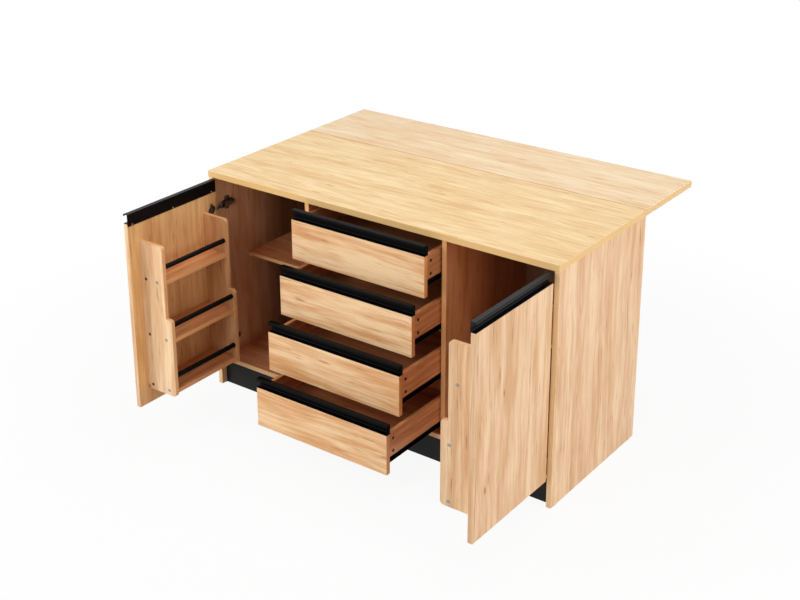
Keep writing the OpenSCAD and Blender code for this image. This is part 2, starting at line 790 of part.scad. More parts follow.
translate([0, -mid_y, 0]) {
    worktop();
    drop_leaf();
    side_panel_left();
    side_panel_right();
    divider_left();
    divider_right();
    bottom_board();
    plinth();
    back_panel();
    shelves();
    shelf_pins();
    floor_glides();
    cabinet_rails();
    hinge_arms();
    leaf_hinge_fixed();
    leaf_hinge_moving();
    leaf_tracks();
    stay_brackets();
    leaf_stays();
    left() door_panel();  // door_left_panel
    left() door_handle();  // door_left_handle
    left() rack_sides();  // rack_left_sides
    left() rack_shelves();  // rack_left_shelves
    left() rack_rods();  // rack_left_rods
    left() rack_screws();  // rack_left_screws
    left() door_caps();  // door_left_caps
    left() hinge_cups();  // hinge_left_cups
    left() hinge_links();  // hinge_left_links
    door_panel();  // door_right_panel
    door_handle();  // door_right_handle
    rack_sides();  // rack_right_sides
    rack_shelves();  // rack_right_shelves
    rack_rods();  // rack_right_rods
    rack_screws();  // rack_right_screws
    door_caps();  // door_right_caps
    hinge_cups();  // hinge_right_cups
    hinge_links();  // hinge_right_links
    color(oak) pulled(0) drawer_front(0);  // drawer_1_front
    color(black) pulled(0) drawer_handle(0);  // drawer_1_handle
    color(oak_dark) pulled(0) drawer_box(0);  // drawer_1_box
    color(oak_dark) pulled(0) drawer_bottom(0);  // drawer_1_bottom
    color(black) pulled(0) drawer_fittings(0);  // drawer_1_fittings
    color(oak) pulled(1) drawer_front(1);  // drawer_2_front
    color(black) pulled(1) drawer_handle(1);  // drawer_2_handle
    color(oak_dark) pulled(1) drawer_box(1);  // drawer_2_box
    color(oak_dark) pulled(1) drawer_bottom(1);  // drawer_2_bottom
    color(black) pulled(1) drawer_fittings(1);  // drawer_2_fittings
    color(oak) pulled(2) drawer_front(2);  // drawer_3_front
    color(black) pulled(2) drawer_handle(2);  // drawer_3_handle
    color(oak_dark) pulled(2) drawer_box(2);  // drawer_3_box
    color(oak_dark) pulled(2) drawer_bottom(2);  // drawer_3_bottom
    color(black) pulled(2) drawer_fittings(2);  // drawer_3_fittings
    color(oak) pulled(3) drawer_front(3);  // drawer_4_front
    color(black) pulled(3) drawer_handle(3);  // drawer_4_handle
    color(oak_dark) pulled(3) drawer_box(3);  // drawer_4_box
    color(oak_dark) pulled(3) drawer_bottom(3);  // drawer_4_bottom
    color(black) pulled(3) drawer_fittings(3);  // drawer_4_fittings
}
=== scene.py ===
import math

import bmesh
import bpy
from mathutils import Matrix, Vector


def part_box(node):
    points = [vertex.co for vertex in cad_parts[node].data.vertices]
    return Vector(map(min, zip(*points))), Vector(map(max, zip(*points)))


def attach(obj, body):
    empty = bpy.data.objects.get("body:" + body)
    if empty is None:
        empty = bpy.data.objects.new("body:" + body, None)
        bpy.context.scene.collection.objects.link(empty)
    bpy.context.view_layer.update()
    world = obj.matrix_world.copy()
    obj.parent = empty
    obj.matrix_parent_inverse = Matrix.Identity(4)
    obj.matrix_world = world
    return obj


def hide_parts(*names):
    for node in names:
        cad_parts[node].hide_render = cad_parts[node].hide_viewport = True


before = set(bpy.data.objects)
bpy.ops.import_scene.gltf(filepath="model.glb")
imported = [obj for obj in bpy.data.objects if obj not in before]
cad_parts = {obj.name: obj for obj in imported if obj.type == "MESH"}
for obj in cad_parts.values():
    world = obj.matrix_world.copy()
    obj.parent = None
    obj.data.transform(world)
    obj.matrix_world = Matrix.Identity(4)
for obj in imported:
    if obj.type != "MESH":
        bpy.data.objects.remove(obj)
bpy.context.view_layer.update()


# ---------------------------------------------------------------- worktop and leaf
# The worktop and its folding leaf are chipboard, 24 mm thick, faced with a pale natural oak decor that runs
# lengthwise. Their edges are banded with a deeper tan strip, and both are cut from one length of board.

X, Y, Z = (1, 0, 0), (0, 1, 0), (0, 0, 1)


def srgb(*levels):
    """A colour as it is read off a swatch, 0 to 255."""
    shares = [level / 255 for level in levels]
    return tuple(s / 12.92 if s <= 0.04045 else ((s + 0.055) / 1.055) ** 2.4 for s in shares) + (1,)


def group(name, takes, gives):
    """Starts a shader node group, with its named inputs and outputs."""
    tree = bpy.data.node_groups.new(name, "ShaderNodeTree")
    kinds = {"vector": "NodeSocketVector", "value": "NodeSocketFloat", "colour": "NodeSocketColor"}
    for label, (kind, start) in takes.items():
        socket = tree.interface.new_socket(label, in_out="INPUT", socket_type=kinds[kind])
        socket.default_value = start
    for label, kind in gives.items():
        tree.interface.new_socket(label, in_out="OUTPUT", socket_type=kinds[kind])
    return tree, tree.nodes.new("NodeGroupInput").outputs, tree.nodes.new("NodeGroupOutput").inputs


def feed(tree, socket, value):
    """Links a socket into another one, or sets the plain value."""
    if isinstance(value, bpy.types.NodeSocket):
        tree.links.new(value, socket)
    else:
        socket.default_value = value


def calc(tree, what, *terms):
    """A math node on values."""
    node = tree.nodes.new("ShaderNodeMath")
    node.operation = what
    for socket, term in zip(node.inputs, terms):
        feed(tree, socket, term)
    return node.outputs[0]


def times(tree, made, *terms):
    """The product of values."""
    for term in terms:
        made = calc(tree, "MULTIPLY", made, term)
    return made


def total(tree, made, *terms):
    """The sum of values."""
    for term in terms:
        made = calc(tree, "ADD", made, term)
    return made


def rest(tree, value):
    """What is left of 1."""
    return calc(tree, "SUBTRACT", 1.0, value)


def vec(tree, what, *terms):
    """A vector math node. DOT_PRODUCT and LENGTH give a value."""
    node = tree.nodes.new("ShaderNodeVectorMath")
    node.operation = what
    for socket, term in zip(node.inputs, terms):
        feed(tree, socket, term)
    return node.outputs["Value" if what in ("DOT_PRODUCT", "LENGTH") else "Vector"]


def dot(tree, first, second):
    """How far one vector reaches along the other."""
    return vec(tree, "DOT_PRODUCT", first, second)


def triple(tree, *values):
    """A vector from its three values."""
    node = tree.nodes.new("ShaderNodeCombineXYZ")
    for socket, value in zip(node.inputs, values):
        feed(tree, socket, value)
    return node.outputs[0]


def noise(tree, place, scale=1.0, detail=2.0, rough=0.5, bend=0.0):
    """Soft random values over a place, from 0 to 1."""
    node = tree.nodes.new("ShaderNodeTexNoise")
    feed(tree, node.inputs["Vector"], place)
    node.inputs["Scale"].default_value = scale
    node.inputs["Detail"].default_value = detail
    node.inputs["Roughness"].default_value = rough
    node.inputs["Distortion"].default_value = bend
    return node.outputs["Fac"]


def between(tree, value, low, high):
    """0 below low, 1 above high, and a smooth step between them."""
    node = tree.nodes.new("ShaderNodeMapRange")
    node.interpolation_type = "SMOOTHSTEP"
    feed(tree, node.inputs["Value"], value)
    feed(tree, node.inputs["From Min"], low)
    feed(tree, node.inputs["From Max"], high)
    return node.outputs["Result"]


def pick(tree, where, no, yes):
    """One of two values."""
    node = tree.nodes.new("ShaderNodeMix")
    feed(tree, node.inputs[0], where)
    feed(tree, node.inputs[2], no)
    feed(tree, node.inputs[3], yes)
    return node.outputs[0]


def tint(tree, share, first, second, how="MIX"):
    """Mixes two colours, or darkens the first one by the second."""
    node = tree.nodes.new("ShaderNodeMix")
    node.data_type = "RGBA"
    node.blend_type = how
    feed(tree, node.inputs[0], share)
    feed(tree, node.inputs[6], first)
    feed(tree, node.inputs[7], second)
    return node.outputs[2]


# the decor runs along a board and turns at its end. Each cut, each end and each front shows another place of
# the printed sheet, moved on by these lengths in metres
cut_along, cut_across, cut_deep = 0.731, 0.417, 1.37
end_shift, front_shift = 0.37, 0.53
square_on, to_one_side = 0.75, 0.5                 # the cosines from which a face counts as looking that way
way, way_in, way_out = group(
    "grain direction",
    {"Place": ("vector", (0, 0, 0)), "Facing": ("vector", Z), "Along": ("vector", X),
     "Across": ("vector", Y), "Through": ("vector", Z), "Cut": ("value", 0.0)},
    {"Board": "vector", "Edge": "value"})


def faces_along(direction):
    """1 on the faces that look one way or the other along a direction of the board."""
    reach = calc(way, "ABSOLUTE", dot(way, way_in["Facing"], way_in[direction]))
    return calc(way, "GREATER_THAN", reach, square_on)


end_face, long_face = faces_along("Along"), faces_along("Across")
edge_face = calc(way, "MAXIMUM", end_face, long_face)
front_face = calc(way, "GREATER_THAN", dot(way, way_in["Facing"], way_in["Through"]), 0.0)
run, side, deep = (dot(way, way_in["Place"], way_in[label]) for label in ("Along", "Across", "Through"))
feed(way, way_out["Board"], triple(
    way,
    total(way, pick(way, end_face, run, side), times(way, way_in["Cut"], cut_along)),
    total(way, pick(way, edge_face, side, deep), times(way, end_face, end_shift),
          times(way, front_face, front_shift), times(way, way_in["Cut"], cut_across)),
    times(way, way_in["Cut"], cut_deep)))
feed(way, way_out["Edge"], edge_face)

# the oak decor itself: bands, streaks, ring and hair lines, brown flames, pores, splits and small knots
oak, oak_in, oak_out = group(
    "oak decor",
    {"Board": ("vector", (0, 0, 0)), "Pale": ("colour", (1, 1, 1, 1)), "Tan": ("colour", (0.6, 0.4, 0.2, 1)),
     "Dark": ("colour", (0.5, 0.3, 0.1, 1)), "Bands": ("value", 1.0), "Lines": ("value", 1.0),
     "Splits": ("value", 1.0), "Knots": ("value", 1.0)},
    {"Color": "colour", "Height": "value", "Rough": "value"})
at, bands_in, lines_in = oak_in["Board"], oak_in["Bands"], oak_in["Lines"]

# the sheet falls into cells, so many a metre along and across, and about a quarter of them hold a knot
knot_cells, without_knot = (3.4, 11.0, 1.0), 0.74
cells = oak.nodes.new("ShaderNodeTexVoronoi")
cells.feature = "F1"
cells.inputs["Scale"].default_value = 1.0
feed(oak, cells.inputs["Vector"], vec(oak, "MULTIPLY", at, knot_cells))
with_knot = calc(oak, "GREATER_THAN", dot(oak, cells.outputs["Color"], (1.0, 0.0, 0.0)), without_knot)


def knot(inner, outer):
    """1 within the inner radius of a knot, 0 past the outer one."""
    return times(oak, rest(oak, between(oak, cells.outputs["Distance"], inner, outer)), with_knot)


around_knot, knot_core = knot(0.0, 0.42), knot(0.015, 0.07)


def grain(place, lines, detail=2.0, rough=0.5, bend=0.0):
    """Noise with that many lines a metre along and across the grain, from -0.5 to 0.5."""
    values = noise(oak, vec(oak, "MULTIPLY", place, lines), detail=detail, rough=rough, bend=bend)
    return calc(oak, "SUBTRACT", values, 0.5)


# the lines wander, by so many metres, and go round the knots
wander = total(oak, times(oak, grain(at, (1.7, 5.0, 1.0)), 0.050),
               times(oak, grain(at, (7.0, 26.0, 2.0)), 0.009), times(oak, around_knot, 0.012))
bent = vec(oak, "ADD", at, triple(oak, 0.0, wander, 0.0))
broad, streak = grain(bent, (1.3, 15.0, 1.0)), grain(bent, (3.1, 42.0, 2.0))
rings = grain(bent, (5.5, 150.0, 3.0), rough=0.6)
hair = grain(bent, (13.0, 620.0, 5.0), rough=0.6)
mottle = grain(at, (4.6, 13.0, 7.0), detail=3.0, rough=0.6, bend=0.8)
towards_tan = total(
    oak, 0.47, times(oak, broad, bands_in, 1.8), times(oak, streak, bands_in, 2.0),
    times(oak, rings, lines_in, 1.3), times(oak, hair, lines_in, 0.5), mottle, times(oak, around_knot, 0.35))
body = tint(oak, towards_tan, oak_in["Pale"], oak_in["Tan"])
# short brown flames lie along the lines, and hairline splits gather in a few places
flame = between(oak, grain(bent, (8.0, 74.0, 9.0)), 0.13, 0.27)
pore = between(oak, hair, 0.08, 0.24)
patch = between(oak, grain(at, (1.5, 7.0, 11.0), detail=1.0), 0.02, 0.17)
split = times(oak, between(oak, grain(bent, (1.9, 240.0, 13.0)), 0.125, 0.20), patch, oak_in["Splits"])
flame, core = times(oak, flame, lines_in), times(oak, knot_core, oak_in["Knots"])
for mark, strength in ((flame, 0.5), (pore, 0.28), (split, 0.9), (core, 0.9), (core, 0.6)):
    body = tint(oak, times(oak, mark, strength), body, oak_in["Dark"], "MULTIPLY")
feed(oak, oak_out["Color"], body)
sunk = total(oak, times(oak, pore, 0.4), times(oak, split, 0.5), times(oak, knot_core, 0.5))
feed(oak, oak_out["Height"], calc(oak, "SUBTRACT", times(oak, rings, 0.5), sunk))
feed(oak, oak_out["Rough"], total(oak, times(oak, rings, 0.14), times(oak, pore, 0.12),
                                  times(oak, split, 0.1), 0.06))

# painted highlight: a light line along a board's edges, where they would catch the light, from the board's
# own corners
rim, rim_in, rim_out = group(
    "painted edge highlight",
    {"Place": ("vector", (0, 0, 0)), "Low": ("vector", (0, 0, 0)), "High": ("vector", (1, 1, 1)),
     "Width": ("value", 0.002)},
    {"Line": "value"})
inside_low = vec(rim, "SUBTRACT", rim_in["Place"], rim_in["Low"])
inside_high = vec(rim, "SUBTRACT", rim_in["High"], rim_in["Place"])
nearest = rim.nodes.new("ShaderNodeSeparateXYZ")
feed(rim, nearest.inputs[0], vec(rim, "MINIMUM", inside_low, inside_high))
dx, dy, dz = nearest.outputs
# the middle one of the three distances is the distance to the nearest edge
nearer, further = calc(rim, "MINIMUM", dx, dy), calc(rim, "MAXIMUM", dx, dy)
to_edge = calc(rim, "MAXIMUM", nearer, calc(rim, "MINIMUM", further, dz))
wavy_width = times(rim, rim_in["Width"], total(rim, noise(rim, rim_in["Place"], scale=60.0), 0.5))
feed(rim, rim_out["Line"], rest(rim, between(rim, to_edge, 0.0, wavy_width)))


def add_group(tree, kind, **values):
    """Puts a node group into a material, fed with its values."""
    node = tree.nodes.new("ShaderNodeGroup")
    node.node_tree = kind
    for label, value in values.items():
        feed(tree, node.inputs[label], value)
    return node.outputs


def new_finish(name):
    """A new material, its node tree, the inputs of its shader, and the coordinates of the piece it is on."""
    made = bpy.data.materials.new(name)
    made.use_nodes = True
    tree = made.node_tree
    return made, tree, tree.nodes["Principled BSDF"].inputs, tree.nodes.new("ShaderNodeTexCoord").outputs


def relief(tree, shader, height, strength, depth):
    """Fine relief of a surface, its depth in metres."""
    bump = tree.nodes.new("ShaderNodeBump")
    bump.inputs["Strength"].default_value = strength
    bump.inputs["Distance"].default_value = depth
    feed(tree, bump.inputs["Height"], height)
    feed(tree, shader["Normal"], bump.outputs["Normal"])


satin = 0.42
band_cover = 0.85                                  # how far the edge band's own tone covers the decor
joint_tone, joint_half = srgb(206, 178, 156), (0.001, 0.0034)
past_joint = 0.1


def oak_board(name, laid, cut, tones, edge=None, bands=1.0, lines=1.0, splits=1.0, knots=1.0, node=None,
              edge_highlight_share=0.35, inner=None, depth_shade=None, seam=None):
    """Oak decor for one board.
    laid gives the directions along, across and through it. cut picks its place on the printed sheet.
    tones are its pale, tan and dark ones, and edge is the tone of its edge band.
    inner is the direction that the board's inner face looks, with the tone of painted shade on that face.
    The painted depth shade gives two depths in metres, between which painted shade darkens the board to a
    tone, or only its inner face where inner is given too.
    seam is the depth where the board meets the next one, with a thin dark line instead of a light edge."""
    made, tree, shader, where = new_finish(name)
    along, across, through = laid
    pale, tan, dark = tones
    turn = add_group(tree, way, Place=where["Object"], Facing=where["Normal"], Along=along, Across=across,
                     Through=through, Cut=cut)
    decor = add_group(tree, oak, Board=turn["Board"], Pale=pale, Tan=tan, Dark=dark, Bands=bands,
                      Lines=lines, Splits=splits, Knots=knots)
    colour, facing_in = decor["Color"], 1.0
    # painted shade: the inner face takes a darker tone
    if inner:
        looks, tone = inner
        facing_in = calc(tree, "GREATER_THAN", dot(tree, where["Normal"], looks), to_one_side)
        colour = tint(tree, facing_in, colour, tone + (1,), "MULTIPLY")
    # painted shade: the board darkens between two depths in the room
    if depth_shade:
        first, last, tone = depth_shade
        depth = between(tree, dot(tree, where["Object"], Y), first, last)
        colour = tint(tree, times(tree, depth, facing_in), colour, tone + (1,), "MULTIPLY")
    if edge:
        colour = tint(tree, times(tree, turn["Edge"], band_cover), colour, edge)
    if node:
        low, high = (Vector(corner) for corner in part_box(node))
        if seam is not None:
            if low.y > seam:
                low.y -= past_joint
            else:
                high.y += past_joint
            away = calc(tree, "ABSOLUTE", calc(tree, "SUBTRACT", dot(tree, where["Object"], Y), seam))
            level = calc(tree, "GREATER_THAN", dot(tree, where["Normal"], Z), to_one_side)
            joint = times(tree, level, rest(tree, between(tree, away, *joint_half)))
            colour = tint(tree, joint, colour, joint_tone, "MULTIPLY")
        # painted highlight along the board's edges
        line = add_group(tree, rim, Place=where["Object"], Low=low, High=high)
        colour = tint(tree, times(tree, line["Line"], edge_highlight_share), colour, pale)
    feed(tree, shader["Base Color"], colour)
    feed(tree, shader["Roughness"], total(tree, decor["Rough"], satin))
    shader["IOR"].default_value = 1.45
    relief(tree, shader, decor["Height"], strength=0.35, depth=0.0004)
    return made


def finish_in(node, material):
    """Gives a board or fitting its finish."""
    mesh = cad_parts[node].data
    mesh.materials.clear()
    mesh.materials.append(material)


half_gap = 0.00075                                 # half the gap between worktop and leaf
top_tones = srgb(249, 222, 173), srgb(224, 179, 120), srgb(204, 160, 112)
leaf_tones = srgb(250, 228, 192), srgb(230, 190, 144), srgb(204, 160, 112)
top_look = dict(edge=srgb(228, 186, 120), bands=0.52, splits=0.5, knots=0.25,
                seam=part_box("worktop")[1][1] + half_gap)
finish_in("worktop", oak_board("worktop oak", (X, Y, Z), 0.0, top_tones, lines=1.35, node="worktop",
                               **top_look))
finish_in("drop_leaf", oak_board("leaf oak", (X, Y, Z), 3.0, leaf_tones, lines=1.2, node="drop_leaf",
                                 **top_look))


# ---------------------------------------------------------------- cabinet boards
# Side panels, dividers, bottom board and shelves are chipboard with the same decor, pinkish tan to pale, and
# small knots. The side panels run down to the floor, the dividers stand on the bottom board, and the thin
# back is set in.

panel_dark = srgb(190, 140, 92)
panel_tones = srgb(240, 206, 166), srgb(214, 166, 120), panel_dark
back_tones = srgb(236, 200, 158), srgb(210, 162, 116), panel_dark
# painted shade: the dividers, bottom board and shelves take a deeper, redder tone of the decor, for the shade
# and warm bounce light inside the bays
inside_shaded_tones = srgb(236, 172, 124), srgb(208, 138, 90), srgb(180, 126, 84)
# painted shade on the inner faces of the side panels and back panel
inner_shade_tone = (1.0, 0.93, 0.92)
# painted shade: the side panels, back panel and dividers darken towards the back of the cabinet
panel_depth_shade = (-0.11, 0.15, (0.26, 0.21, 0.2))      # as oak_board takes it
divider_depth_shade = (-0.17, 0.14, (0.42, 0.36, 0.34))
for hand, cut, inward in (("right", 1.0, (-1, 0, 0)), ("left", 2.0, (1, 0, 0))):
    node = f"side_panel_{hand}"
    finish_in(node, oak_board(f"side panel {hand} oak", (Z, Y, X), cut, panel_tones, bands=0.88, node=node,
                              edge=srgb(252, 214, 158), inner=(inward, inner_shade_tone), depth_shade=panel_depth_shade))
for hand, cut in (("right", 4.0), ("left", 5.0)):
    node = f"divider_{hand}"
    finish_in(node, oak_board(f"divider {hand} oak", (Z, Y, X), cut, inside_shaded_tones, edge=srgb(250, 190, 124),
                              node=node, depth_shade=divider_depth_shade))
finish_in("back_panel", oak_board("back panel oak", (Z, X, Y), 6.0, back_tones, node="back_panel",
                                  inner=((0, -1, 0), inner_shade_tone), depth_shade=panel_depth_shade))
finish_in("bottom_board", oak_board("bottom board oak", (X, Y, Z), 7.0, inside_shaded_tones, node="bottom_board",
                                    edge=srgb(252, 206, 150)))
finish_in("shelves", oak_board("shelf oak", (X, Y, Z), 8.0, inside_shaded_tones, edge=srgb(250, 198, 138)))


# ---------------------------------------------------------------- plinth and glides
# The plinth is a black faced board set back under the bottom board. Nail-on plastic glides keep the side
# panels just off the floor.

fine_grain = (40, 40, 40)
mean_uneven = 0.11                                 # what the two noises add to a coat's roughness on average


def coated(name, colour, worn, rough, marks=0.25, metal=0.0, sheen=0.5):
    """A coat of paint, powder, plating or moulded plastic with fine texture and slight marks."""
    made, tree, shader, where = new_finish(name)
    fine = noise(tree, vec(tree, "MULTIPLY", where["Object"], fine_grain), scale=12.0, detail=3.0, rough=0.6)
    cloud = noise(tree, where["Object"], scale=7.0, detail=3.0, rough=0.6)
    spots = between(tree, times(tree, total(tree, fine, cloud), 0.5), 0.5, 0.66)
    feed(tree, shader["Base Color"], tint(tree, times(tree, spots, marks), colour, worn))
    uneven = total(tree, times(tree, cloud, 0.14), times(tree, fine, 0.08))
    feed(tree, shader["Roughness"], total(tree, uneven, rough - mean_uneven))
    shader["Metallic"].default_value = metal
    shader["Specular IOR Level"].default_value = sheen
    relief(tree, shader, fine, strength=0.3, depth=0.0001)
    return made


finish_in("plinth", coated("plinth black", srgb(14, 14, 13), srgb(28, 27, 26), 0.55, sheen=0.2))
finish_in("floor_glides", coated("glide plastic", srgb(228, 226, 220), srgb(205, 202, 194), 0.45))


# ---------------------------------------------------------------- doors
# Two inset doors, 19 mm, with the decor upright. Each carries a black profile along its upper edge, which
# serves as the handle, and swings on two concealed hinges.

# painted shade: the doors' inner faces take a darker, warmer tone
door_inner_shade_tone = (0.97, 0.83, 0.58)
for hand, cut, inward in (("left", 9.0, (1, 0, 0)), ("right", 10.0, (-1, 0, 0))):
    node = f"door_{hand}_panel"
    finish_in(node, oak_board(f"{hand} door oak", (Z, Y, X), cut, panel_tones, bands=0.92, splits=1.1,
                              node=node, inner=(inward, door_inner_shade_tone)))


# ---------------------------------------------------------------- handle profiles
# Extruded aluminium, anodised satin black: a back plate behind the wood, a flange on the wood's upper edge
# and a top flange with a rolled lip. Fine drawing lines run along it, rubbed a little lighter in places.

lines_along, lines_across = 3.0, 900.0             # drawing lines a metre
smooth, rub_cover = 0.26, 0.5


def anodised(name, along, dark, rubbed, sheen):
    """Anodised aluminium with drawing lines along one direction."""
    made, tree, shader, where = new_finish(name)
    pull = tuple(lines_along if axis else lines_across for axis in along)
    drawing = noise(tree, vec(tree, "MULTIPLY", where["Object"], pull), rough=0.6)
    cloud = noise(tree, where["Object"], scale=9.0, detail=3.0, rough=0.6)
    rub = times(tree, between(tree, drawing, 0.45, 0.8), rub_cover)
    feed(tree, shader["Base Color"], tint(tree, rub, dark, rubbed))
    feed(tree, shader["Roughness"], total(tree, times(tree, cloud, 0.16), times(tree, drawing, 0.12), smooth))
    shader["Metallic"].default_value = 0.1
    shader["Specular IOR Level"].default_value = sheen
    relief(tree, shader, drawing, strength=0.2, depth=0.0001)
    return made


drawer_profile = anodised("drawer profile black", X, srgb(3, 3, 4), srgb(12, 12, 13), 0.05)
door_profile = anodised("door profile black", Y, srgb(4, 4, 5), srgb(20, 20, 20), 0.17)
for hand in ("left", "right"):
    finish_in(f"door_{hand}_handle", door_profile)
for number in range(1, 5):
    finish_in(f"drawer_{number}_handle", drawer_profile)


# ---------------------------------------------------------------- spice racks
# Each door carries a rack of 15 mm boards: two stepped sides with rounded corners, three shelves, and a
# black rod across the front of each shelf. Dark screws and bright cam caps show outside on the sides.

rack_tones = srgb(242, 209, 167), srgb(216, 169, 122), srgb(168, 118, 76)
# painted shade: the rack shelves take a darker, more orange tone than the rack sides
rack_shelf_shaded_tones = srgb(226, 160, 106), srgb(196, 124, 76), panel_dark
# painted shade: the rack sides darken towards the door's hinged edge
rack_depth_shade = (-0.64, -0.34, (0.8, 0.66, 0.54))
rod_black = coated("rod black", srgb(9, 9, 10), srgb(24, 24, 25), 0.5, sheen=0.08)
for hand, cut in (("left", 11.0), ("right", 12.0)):
    finish_in(f"rack_{hand}_sides", oak_board(
        f"{hand} rack side oak", (Z, X, Y), cut, rack_tones, edge=srgb(230, 172, 116), splits=1.6, knots=1.2,
        depth_shade=rack_depth_shade))
    finish_in(f"rack_{hand}_shelves", oak_board(
        f"{hand} rack shelf oak", (Y, X, Z), cut + 0.5, rack_shelf_shaded_tones, edge=srgb(228, 164, 108)))
    finish_in(f"rack_{hand}_rods", rod_black)

# fittings are drawn in millimetres, with y counted from the worktop's front edge
front_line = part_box("worktop")[0][1]


def face(node, side):
    """Where the face of a node lies that looks to a side such as "-x"."""
    axis = "xyz".index(side[1])
    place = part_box(node)[side[0] == "+"][axis]
    return 1000 * (place - front_line if axis == 1 else place)


def middle(node, axis):
    """Halfway between two faces of a node."""
    return (face(node, "-" + axis) + face(node, "+" + axis)) / 2


def seat(point, across, upright):
    """A place with its own X and Y directions. Its Z axis looks along across x upright."""
    looks = Vector(across).cross(Vector(upright))
    there = Vector(point) / 1000 + Vector((0, front_line, 0))
    return Matrix.Translation(there) @ Matrix((across, upright, looks)).transposed().to_4x4()


def turned(shape, place, rings, count=28, open_end=False):
    """Turned form: (radius, height) rings in millimetres about the place's Z axis."""
    loops = []
    for radius, height in rings:
        turns = [math.tau * k / count for k in range(count if radius else 1)]
        spots = [Vector((radius * math.cos(a), radius * math.sin(a), height)) for a in turns]
        loops.append([shape.verts.new(place @ (spot / 1000)) for spot in spots])
    for low, high in zip(loops, loops[1:]):
        for k in range(count):
            j = k + 1
            corners = (low[k % len(low)], low[j % len(low)], high[j % len(high)], high[k % len(high)])
            shape.faces.new(list(dict.fromkeys(corners)))
    for end in loops[:1] if open_end else (loops[0], loops[-1]):
        if len(end) > 1:
            shape.faces.new(end)
    return loops[-1]


def cross(reach, half):
    """Outline of a cross recess."""
    a, w = reach, half
    return [(a, w), (w, w), (w, a), (-w, a), (-w, w), (-a, w),
            (-a, -w), (-w, -w), (-w, -a), (w, -a), (w, -w), (a, -w)]


def pan(radius, height):
    """Rings of a pan head, from its rim to the flat on top."""
    return [(radius * across, height * up)
            for across, up in ((1, 0), (1, 0.35), (0.94, 0.68), (0.82, 0.9), (0.62, 1))]


def screw(shape, place, rings, recess, deep, count=20):
    """Screw head or cap: turned rings, and a tapered recess sunk into the last one."""
    land = turned(shape, place, rings, count, open_end=True)
    height, taper = rings[-1][1], 0.7
    sunk = [(x * taper, y * taper) for x, y in recess]
    mouth = [shape.verts.new(place @ (Vector((x, y, height)) / 1000)) for x, y in recess]
    bottom = [shape.verts.new(place @ (Vector((x, y, height - deep)) / 1000)) for x, y in sunk]
    hems = []
    for ring in (land, mouth):
        for a, b in zip(ring, ring[1:] + ring[:1]):
            hems.append(shape.edges.get((a, b)) or shape.edges.new((a, b)))
    bmesh.ops.triangle_fill(shape, use_beauty=True, edges=hems)
    for k in range(len(mouth)):
        j = (k + 1) % len(mouth)
        shape.faces.new((mouth[k], mouth[j], bottom[j], bottom[k]))
    shape.faces.new(bottom)


sharp_from = math.radians(32)                      # faces that meet at more than this keep a sharp edge


def piece(name, shape, material, body, slot, *stands_for, mirrored=False):
    """Makes one piece of a built shape. It moves with the body, and stands for the nodes named."""
    if mirrored:
        bmesh.ops.transform(shape, matrix=Matrix.Scale(-1, 4, X), verts=shape.verts)
    bmesh.ops.recalc_face_normals(shape, faces=shape.faces)
    mesh = bpy.data.meshes.new(name)
    shape.to_mesh(mesh)
    shape.free()
    mesh.shade_smooth()
    mesh.set_sharp_from_angle(angle=sharp_from)
    mesh.materials.append(material)
    made = bpy.data.objects.new(name, mesh)
    bpy.context.scene.collection.objects.link(made)
    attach(made, body)
    if stands_for:
        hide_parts(*stands_for)


cam_nickel = coated("cam nickel", srgb(176, 170, 164), srgb(120, 114, 108), 0.34, metal=0.6, marks=0.45)
screw_bronze = coated("screw bronze", srgb(92, 62, 42), srgb(40, 26, 18), 0.4, metal=0.6, marks=0.5)
zinc = coated("bright zinc", srgb(196, 194, 188), srgb(138, 134, 128), 0.3, metal=0.9, marks=0.3)
rack_screw = dict(rings=pan(6.0, 1.1), recess=cross(2.8, 0.9), deep=0.9)
cap_rings = [(7.0, 0), (7.0, 0.5), (6.6, 0.9), (5.6, 0.9), (5.1, 0.45), (4.2, 0.45)]
cam_cap = dict(rings=cap_rings, recess=cross(2.9, 0.9), deep=0.9, count=28)
profile_screw = dict(rings=pan(2.6, 0.9), recess=cross(1.4, 0.4), deep=0.5, count=16)
profile_screw_up, profile_screw_in = 5.0, 22.0     # above the profile's lower edge, in from a door's edge
# the right-hand rack, door open. The left one is its mirror image
rack_front, rack_rear = face("rack_right_sides", "-y"), face("rack_right_sides", "+y")
cap_line = face("rack_right_sides", "-x") + 33.0   # caps sit this far in from the front of the rack
rack_step = 28.0                                   # the top part of the side is narrower
shelf_rows = ((189, cap_line), (394, cap_line), (614, cap_line + rack_step))
profile = "door_right_handle"
door_front, door_rear = face("door_right_panel", "-y"), face("door_right_panel", "+y")
for hand in ("left", "right"):
    screws, caps, grips = bmesh.new(), bmesh.new(), bmesh.new()
    for height, cap_x in shelf_rows:
        for at_y, across in ((rack_front, X), (rack_rear, (-1, 0, 0))):
            screw(screws, seat((middle("rack_right_screws", "x"), at_y, height), across, Z), **rack_screw)
            screw(caps, seat((cap_x, at_y, height), across, Z), **cam_cap)
    for at_y in (door_front + profile_screw_in, (door_front + door_rear) / 2, door_rear - profile_screw_in):
        place = (face(profile, "-x"), at_y, face(profile, "-z") + profile_screw_up)
        screw(grips, seat(place, (0, -1, 0), Z), **profile_screw)
    for name, shape, material, slot, node in (
            ("rack_screws", screws, screw_bronze, "dark_metal", f"rack_{hand}_screws"),
            ("cam_caps", caps, cam_nickel, "bright_metal", f"door_{hand}_caps"),
            ("profile_screws", grips, zinc, "bright_metal", f"door_{hand}_caps")):
        piece(f"{hand}_{name}", shape, material, f"door_{hand}", slot, node, mirrored=hand == "left")
finish_in("shelf_pins", cam_nickel)


# ---------------------------------------------------------------- concealed hinges
# Pressed steel, blackened: a cup let into the door, an arm on a winged mounting plate on the side panel, and
# the link between them, which turns on a pin at each end.

hinge_black = coated("hinge black", srgb(136, 128, 120), srgb(194, 186, 176), 0.2, metal=0.8, marks=0.5)


